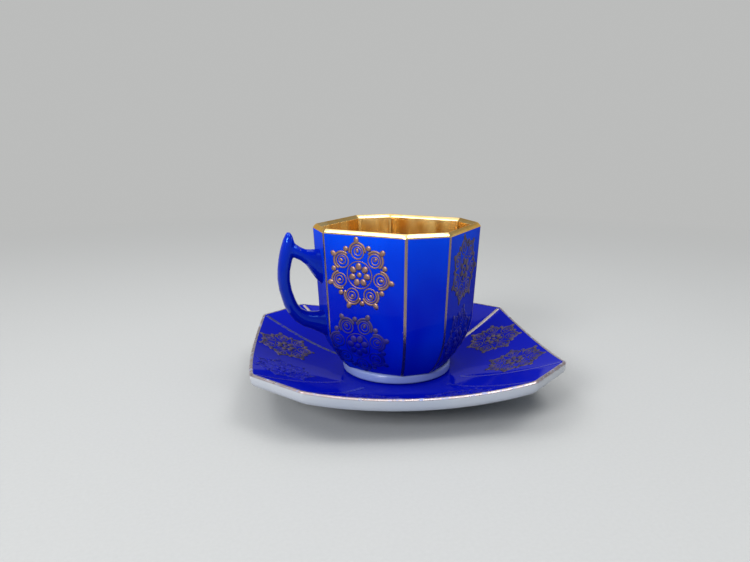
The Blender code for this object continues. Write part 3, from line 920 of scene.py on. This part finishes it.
def noise(tree, scale, detail, place, stretch=(1.0, 1.0, 1.0), shift=(0.0, 0.0, 0.0)):
    """Noise in the piece's own place, in metres."""
    spot = add_node(tree, "ShaderNodeTexCoord", (place[0] - 400, place[1]))
    mapping = add_node(tree, "ShaderNodeMapping", (place[0] - 200, place[1]), Scale=stretch, Location=shift)
    made = add_node(tree, "ShaderNodeTexNoise", place, Scale=scale, Detail=detail, Roughness=0.55)
    tree.links.new(spot.outputs["Object"], mapping.inputs["Vector"])
    tree.links.new(mapping.outputs["Vector"], made.inputs["Vector"])
    return made


def remap(tree, source, low, high, to_low, to_high, place):
    """Stretch a value from one range to another; each end is a number or a socket."""
    node = add_node(tree, "ShaderNodeMapRange", place)
    tree.links.new(source, node.inputs["Value"])
    for name, value in (("From Min", low), ("From Max", high), ("To Min", to_low), ("To Max", to_high)):
        if isinstance(value, (int, float)):
            node.inputs[name].default_value = value
        else:
            tree.links.new(value, node.inputs[name])
    return node.outputs["Result"]


def height_share(tree, low, high, place):
    """How far up between two heights a point of the piece is."""
    spot = add_node(tree, "ShaderNodeTexCoord", (place[0] - 400, place[1]))
    split = add_node(tree, "ShaderNodeSeparateXYZ", (place[0] - 200, place[1]))
    tree.links.new(spot.outputs["Object"], split.inputs["Vector"])
    return remap(tree, split.outputs["Z"], low, high, 0.0, 1.0, place)


def make_glaze_group():
    """Glaze: pooling of its colour, its ripple, its gloss and small specks."""
    inputs = [
        ("Lightening Low", 0.0), ("Lightening High", 0.06), ("Gloss Low", 0.05), ("Gloss High", 0.12), ("Speck Share", 0.3),
    ]
    tree, given, out = new_group("glaze_flow", inputs, ["Pooling", "Lightening", "Ripple", "Gloss", "Specks"])
    lightening_low, lightening_high, low_gloss, high_gloss, most_specks = given.outputs[:5]
    pool = noise(tree, POOL_SCALE, 2.0, (0, 300), stretch=POOL_STRETCH, shift=POOL_SHIFT)
    ripple = noise(tree, RIPPLE_SCALE, 2.0, (0, 0))
    mottle = noise(tree, MOTTLE_SCALE, 3.0, (0, -300))
    speck = noise(tree, SPECK_SCALE, 1.0, (0, -600))
    pooling = remap(tree, pool.outputs["Fac"], 0.32, 0.68, 0.0, 1.0, (300, 300))
    gloss = remap(tree, mottle.outputs["Fac"], 0.3, 0.7, low_gloss, high_gloss, (300, -300))
    specks = remap(tree, speck.outputs["Fac"], 0.66, 0.74, 0.0, most_specks, (300, -600))
    tree.links.new(pooling, out.inputs["Pooling"])
    tree.links.new(height_share(tree, lightening_low, lightening_high, (0, 600)), out.inputs["Lightening"])
    tree.links.new(ripple.outputs["Fac"], out.inputs["Ripple"])
    tree.links.new(gloss, out.inputs["Gloss"])
    tree.links.new(specks, out.inputs["Specks"])
    return tree


def make_gilding_group():
    """Gilding: where it has worn away, how its tone varies, its brush marks, its gloss and how far it is out
    of a painted shade low down.
    """
    inputs = [
        ("Wear", 0.2), ("Gloss Low", 0.15), ("Gloss High", 0.35), ("Fade Low", -1.0), ("Fade High", -0.9),
    ]
    tree, given, out = new_group("gilding", inputs, ["Bare", "Tone", "Brush", "Gloss", "Fade"])
    worn, low_gloss, high_gloss, low_shade_end, high_shade_end = given.outputs[:5]
    wear = noise(tree, WEAR_SCALE, 5.0, (0, 300))
    tone = noise(tree, TONE_SCALE, 3.0, (0, 0), stretch=TONE_STRETCH)
    brush = noise(tree, BRUSH_SCALE, 3.0, (0, -300), stretch=BRUSH_STRETCH)
    start_at = remap(tree, worn, 0.0, 1.0, 0.78, 0.30, (150, 500))
    full_at = remap(tree, worn, 0.0, 1.0, 0.86, 0.46, (150, 650))
    bare = remap(tree, wear.outputs["Fac"], start_at, full_at, 0.0, 1.0, (400, 300))
    tones = remap(tree, tone.outputs["Fac"], 0.3, 0.7, 0.0, 1.0, (300, 0))
    gloss = remap(tree, brush.outputs["Fac"], 0.3, 0.7, low_gloss, high_gloss, (300, -300))
    tree.links.new(bare, out.inputs["Bare"])
    tree.links.new(tones, out.inputs["Tone"])
    tree.links.new(brush.outputs["Fac"], out.inputs["Brush"])
    # Share of the gold that lies out of the painted shade low down.
    tree.links.new(height_share(tree, low_shade_end, high_shade_end, (200, 900)), out.inputs["Fade"])
    tree.links.new(gloss, out.inputs["Gloss"])
    return tree


def new_material(name, **sockets):
    """Material with a Principled shader whose plain sockets are set."""
    material = bpy.data.materials.new(name)
    material.use_nodes = True
    shader = material.node_tree.nodes["Principled BSDF"]
    for socket, value in sockets.items():
        shader.inputs[socket.replace("_", " ")].default_value = value
    return material, material.node_tree, shader


def blend_colors(tree, share, first, second, place):
    """Mix of two colours by a share; each is a colour or a socket."""
    mix = add_node(tree, "ShaderNodeMix", place, data_type="RGBA")
    tree.links.new(share, mix.inputs["Factor"])
    for index, value in ((6, first), (7, second)):
        if isinstance(value, tuple):
            mix.inputs[index].default_value = (*value, 1.0)
        else:
            tree.links.new(value, mix.inputs[index])
    return mix.outputs[2]


def add_bump(tree, shader, height, strength, distance):
    """Small relief of a finish."""
    bump = add_node(tree, "ShaderNodeBump", (-250, -400), Strength=strength, Distance=distance)
    tree.links.new(height, bump.inputs["Height"])
    tree.links.new(bump.outputs["Normal"], shader.inputs["Normal"])


def set_range(node, name, ends):
    """Set the low and the high end of a range on a group."""
    low, high = ends
    node.inputs[f"{name} Low"].default_value = low
    node.inputs[f"{name} High"].default_value = high


def glaze_material(name, group, deep, thin, speck, run, gloss, ripple, **sockets):
    """Glazed porcelain in one colour with pools of tone, darker low down and lighter higher up; on the white
    porcelains the darkening low down is painted shade.
    """
    material, tree, shader = new_material(name, **sockets)
    flow = add_node(tree, "ShaderNodeGroup", (-800, 0), node_tree=group)
    set_range(flow, "Lightening", run)
    set_range(flow, "Gloss", gloss)
    # Darker low down, lighter higher up: on the white porcelains this is painted shade.
    curved_height = add_node(tree, "ShaderNodeMath", (-800, 400), operation="POWER")
    curved_height.inputs[1].default_value = LIGHTENING_CURVE
    tree.links.new(flow.outputs["Lightening"], curved_height.inputs[0])
    tone_share = add_node(tree, "ShaderNodeMix", (-650, 300), data_type="FLOAT", Factor=POOL_SHARE)
    tree.links.new(curved_height.outputs[0], tone_share.inputs[2])
    tree.links.new(flow.outputs["Pooling"], tone_share.inputs[3])
    color = blend_colors(tree, tone_share.outputs[0], deep, thin, (-500, 200))
    color = blend_colors(tree, flow.outputs["Specks"], color, speck, (-300, 200))
    tree.links.new(color, shader.inputs["Base Color"])
    tree.links.new(flow.outputs["Gloss"], shader.inputs["Roughness"])
    add_bump(tree, shader, flow.outputs["Ripple"], ripple, RIPPLE_DEPTH)
    return material


def gold_material(name, group, rich, pale, ground, wear, gloss, metallic, brush, fade=None, **sockets):
    """Gold, bright or worn through to what lies under it; below two heights it may be darkened by painted
    shade to that same ground colour.
    """
    material, tree, shader = new_material(name, Specular_IOR_Level=0.1, **sockets)
    gilding = add_node(tree, "ShaderNodeGroup", (-800, 0), node_tree=group)
    gilding.inputs["Wear"].default_value = wear
    set_range(gilding, "Gloss", gloss)
    color = blend_colors(tree, gilding.outputs["Tone"], rich, pale, (-500, 200))
    # Painted shade: below the given heights the gold gives way to the dark ground colour and loses its metal.
    if fade:
        set_range(gilding, "Fade", fade)
        color = blend_colors(tree, gilding.outputs["Fade"], ground, color, (-400, 300))
    color = blend_colors(tree, gilding.outputs["Bare"], color, ground, (-300, 200))
    tree.links.new(color, shader.inputs["Base Color"])
    metal = remap(tree, gilding.outputs["Bare"], 0.0, 1.0, metallic, 0.0, (-500, 0))
    left = add_node(tree, "ShaderNodeMath", (-300, 0), operation="MULTIPLY")
    tree.links.new(metal, left.inputs[0])
    tree.links.new(gilding.outputs["Fade"], left.inputs[1])
    tree.links.new(left.outputs[0], shader.inputs["Metallic"])
    tree.links.new(gilding.outputs["Gloss"], shader.inputs["Roughness"])
    add_bump(tree, shader, gilding.outputs["Brush"], brush, BRUSH_DEPTH)
    return material


def make_finishes():
    """Every glaze and gold, by name."""
    flow = make_glaze_group()
    gilding = make_gilding_group()
    finishes = {name: glaze_material(name, flow, **values) for name, values in GLAZES.items()}
    for name, values in GOLDS.items():
        finishes[name] = gold_material(name, gilding, **values)
    return finishes


def paint(material, *pieces):
    """Give pieces one material."""
    for piece in pieces:
        piece.data.materials.clear()
        piece.data.materials.append(material)


# Stage, light and camera

# Floor and backdrop; between the two distances the floor's tone becomes even
FLOOR_RADIUS = 1.6
BACKDROP_BEND = 0.5
BACKDROP_STEPS = 12
BACKDROP_WALL = 0.2
FLOOR_LIT_TO = 0.14
FLOOR_EVEN_FROM = 0.60
PAPER_TONES = ((0.480, 0.485, 0.480), (0.520, 0.525, 0.520))

# Light of the room, and lamps by place, size and power, which all look at the cup
ROOM_COLOR = (0.90, 0.95, 1.0, 1.0)
ROOM_LEVEL = 0.32
LAMP_TARGET = (0.0, 0.0, 0.03)
LAMPS = {
    "overhead": ((0.0, 0.0, 0.95), (1.6, 1.6), 7.5),
    "left_window": ((-0.62, -0.02, 0.95), (0.5, 0.4), 2.3),
    "right_window": ((0.31, -0.36, 0.95), (0.4, 0.4), 2.5),
    "front": ((-0.75, -0.60, 0.50), (0.3, 0.3), 6.7),
}


def make_stage():
    """Round pale floor that rises into a backdrop on every side."""
    floor = start(bpy.ops.mesh.primitive_circle_add, "pale_floor", vertices=96, radius=FLOOR_RADIUS)
    for step in range(1, BACKDROP_STEPS + 1):
        turn = step / BACKDROP_STEPS * math.pi / 2
        last = (step - 1) / BACKDROP_STEPS * math.pi / 2
        wider = FLOOR_RADIUS + BACKDROP_BEND * math.sin(turn)
        grow = wider / (FLOOR_RADIUS + BACKDROP_BEND * math.sin(last))
        next_ring(grow, BACKDROP_BEND * (math.cos(last) - math.cos(turn)))
    next_ring(1.0, BACKDROP_WALL)
    pick(floor, "EDGE", lambda a, b: max(a.z, b.z) < 10 * HAIR)
    bpy.ops.mesh.edge_face_add()
    bpy.ops.object.mode_set(mode="OBJECT")
    smooth(floor, 60)
    paint(floor_material(), floor)


def floor_material():
    """Pale paper; away from the object it shows the same even tone as near it."""
    material, tree, shader = new_material("pale_paper", Roughness=0.9, Specular_IOR_Level=0.1)
    links = tree.links
    grain = noise(tree, PAPER_SCALE, 2.0, (-700, 100))
    color = blend_colors(tree, grain.outputs["Fac"], *PAPER_TONES, (-400, 100))
    links.new(color, shader.inputs["Base Color"])
    even = add_node(tree, "ShaderNodeEmission", (0, -300))
    links.new(color, even.inputs["Color"])
    ray = add_node(tree, "ShaderNodeLightPath", (-700, -300))
    seen = add_node(tree, "ShaderNodeMath", (-500, -300), operation="MAXIMUM")
    links.new(ray.outputs["Is Camera Ray"], seen.inputs[0])
    links.new(ray.outputs["Is Glossy Ray"], seen.inputs[1])
    also = add_node(tree, "ShaderNodeMath", (-350, -300), operation="MAXIMUM")
    links.new(seen.outputs[0], also.inputs[0])
    links.new(ray.outputs["Is Transmission Ray"], also.inputs[1])
    spot = add_node(tree, "ShaderNodeTexCoord", (-900, -600))
    reach = add_node(tree, "ShaderNodeVectorMath", (-700, -600), operation="LENGTH")
    links.new(spot.outputs["Object"], reach.inputs[0])
    far = remap(tree, reach.outputs["Value"], FLOOR_LIT_TO, FLOOR_EVEN_FROM, 0.0, 1.0, (-500, -600))
    share = add_node(tree, "ShaderNodeMath", (-150, -300), operation="MULTIPLY")
    links.new(also.outputs[0], share.inputs[0])
    links.new(far, share.inputs[1])
    mix = add_node(tree, "ShaderNodeMixShader", (250, 0))
    links.new(share.outputs[0], mix.inputs["Fac"])
    links.new(shader.outputs["BSDF"], mix.inputs[1])
    links.new(even.outputs["Emission"], mix.inputs[2])
    links.new(mix.outputs["Shader"], tree.nodes["Material Output"].inputs["Surface"])
    return material


def add_lamp(name, place, size, power):
    """Soft lamp that looks at the cup."""
    light = bpy.data.lights.new(name, "AREA")
    light.shape = "RECTANGLE"
    light.size, light.size_y = size
    light.energy = power
    lamp = bpy.data.objects.new(name, light)
    lamp.location = place
    aim = Vector(LAMP_TARGET) - Vector(place)
    lamp.rotation_euler = aim.to_track_quat("-Z", "Y").to_euler()
    bpy.context.collection.objects.link(lamp)


def make_light():
    """Even light of a room, with soft lamps overhead, at the left, at the right and in front."""
    world = bpy.data.worlds.new("soft_room")
    bpy.context.scene.world = world
    world.use_nodes = True
    sky = world.node_tree.nodes["Background"]
    sky.inputs["Color"].default_value = ROOM_COLOR
    sky.inputs["Strength"].default_value = ROOM_LEVEL
    for name, settings in LAMPS.items():
        add_lamp(name, *settings)


def make_camera():
    """Camera at the photograph's viewing angle."""
    data = bpy.data.cameras.new("camera")
    data.lens = CAMERA_LENS
    data.sensor_width = CAMERA_SENSOR
    data.clip_start = 0.01
    camera = bpy.data.objects.new("camera", data)
    camera.location = CAMERA_PLACE
    camera.rotation_euler = (math.pi / 2 - CAMERA_DOWN, 0.0, -CAMERA_HEADING)
    bpy.context.collection.objects.link(camera)
    bpy.context.scene.camera = camera


def turn_saucer(pieces):
    """Turn the saucer's pieces from its own frame to where it stands under the cup."""
    for piece in pieces:
        choose(piece)
        piece.rotation_euler.z = SAUCER_TURN
        bpy.ops.object.transform_apply(rotation=True)


def fit(piece, body, slot, *nodes):
    """Say which body a piece rides on and the solids it stands for; the material slot it is given is not
    used.
    """
    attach(piece, body)
    if nodes:
        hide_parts(*nodes)


def build():
    """Set the scene, make every piece, finish it and fit it to the solids."""
    bpy.context.scene.view_settings.view_transform = "Standard"
    make_camera()
    make_light()
    make_stage()
    finish = make_finishes()

    shell = make_cup_shell()
    band, lining, lines = make_cup_gilding(shell)
    foot, base = make_cup_foot()
    ear = make_handle()
    plate = make_saucer_plate()
    glaze, rim_line = make_saucer_skins(plate)
    saucer_foot = make_saucer_foot()
    crease_lines = make_crease_lines(glaze)
    lace = make_medallion()
    cup_lace = make_cup_medallions(lace, shell)
    saucer_lace = make_saucer_medallions(lace, glaze)
    bpy.data.objects.remove(lace)
    turn_saucer([plate, glaze, rim_line, saucer_foot, *crease_lines, *saucer_lace])

    paint(finish["cobalt_glaze"], shell)
    # Darker copy of the cup's glaze on the handle: painted shade.
    paint(finish["shaded_handle_cobalt_glaze"], ear)
    paint(finish["saucer_cobalt_glaze"], glaze)
    # The saucer's white darkens towards the bottom: painted shade.
    paint(finish["white_porcelain"], plate, saucer_foot)
    # The cup's foot and base are white porcelain; their blue tint is painted reflection, their darkening low
    # down painted shade.
    paint(finish["reflection_tinted_porcelain"], foot, base)
    paint(finish["bright_gold"], band)
    paint(finish["lining_gold"], lining)
    paint(finish["line_gold"], *lines)
    paint(finish["crease_gold"], *crease_lines[1:4])
    paint(finish["worn_line_gold"], crease_lines[4])
    paint(finish["rubbed_line_gold"], crease_lines[0], *crease_lines[5:])
    paint(finish["lace_gold"], *cup_lace[:6:2])
    # Painted shade on the lower medallions.
    paint(finish["shaded_low_lace_gold"], *cup_lace[1:6:2])
    # Darker, duller lace on the right facet's upper medallion and five of the saucer's.
    paint(finish["dim_lace_gold"], cup_lace[6], *saucer_lace[:5])
    # Painted shade hides the right facet's lower medallion and the saucer's front lace.
    paint(finish["shade_hidden_lace_gold"], cup_lace[7], *saucer_lace[5:])
    paint(finish["worn_rim_gold"], rim_line)

    fit(shell, "cup", "cobalt_glaze", "cup_body")
    fit(ear, "cup", "cobalt_glaze", "cup_handle")
    fit(foot, "cup", "white_porcelain", "cup_foot_ring")
    fit(base, "cup", "white_porcelain")
    fit(band, "cup", "bright_gold", "cup_rim_band")
    fit(lining, "cup", "bright_gold", "cup_gold_lining")
    for number, line in enumerate(lines):
        fit(line, "cup", "bright_gold", f"cup_gold_line_{number + 1}")
    fit(plate, "saucer", "white_porcelain", "saucer_plate")
    fit(glaze, "saucer", "cobalt_glaze", "saucer_plate")
    fit(saucer_foot, "saucer", "white_porcelain", "saucer_foot_ring")
    fit(rim_line, "saucer", "bright_gold", "saucer_rim_line")
    for number, line in enumerate(crease_lines):
        fit(line, "saucer", "bright_gold", f"saucer_gold_line_{number + 1}")
    for piece in cup_lace:
        fit(piece, "cup", "bright_gold")
    for piece in saucer_lace:
        fit(piece, "saucer", "bright_gold")


build()
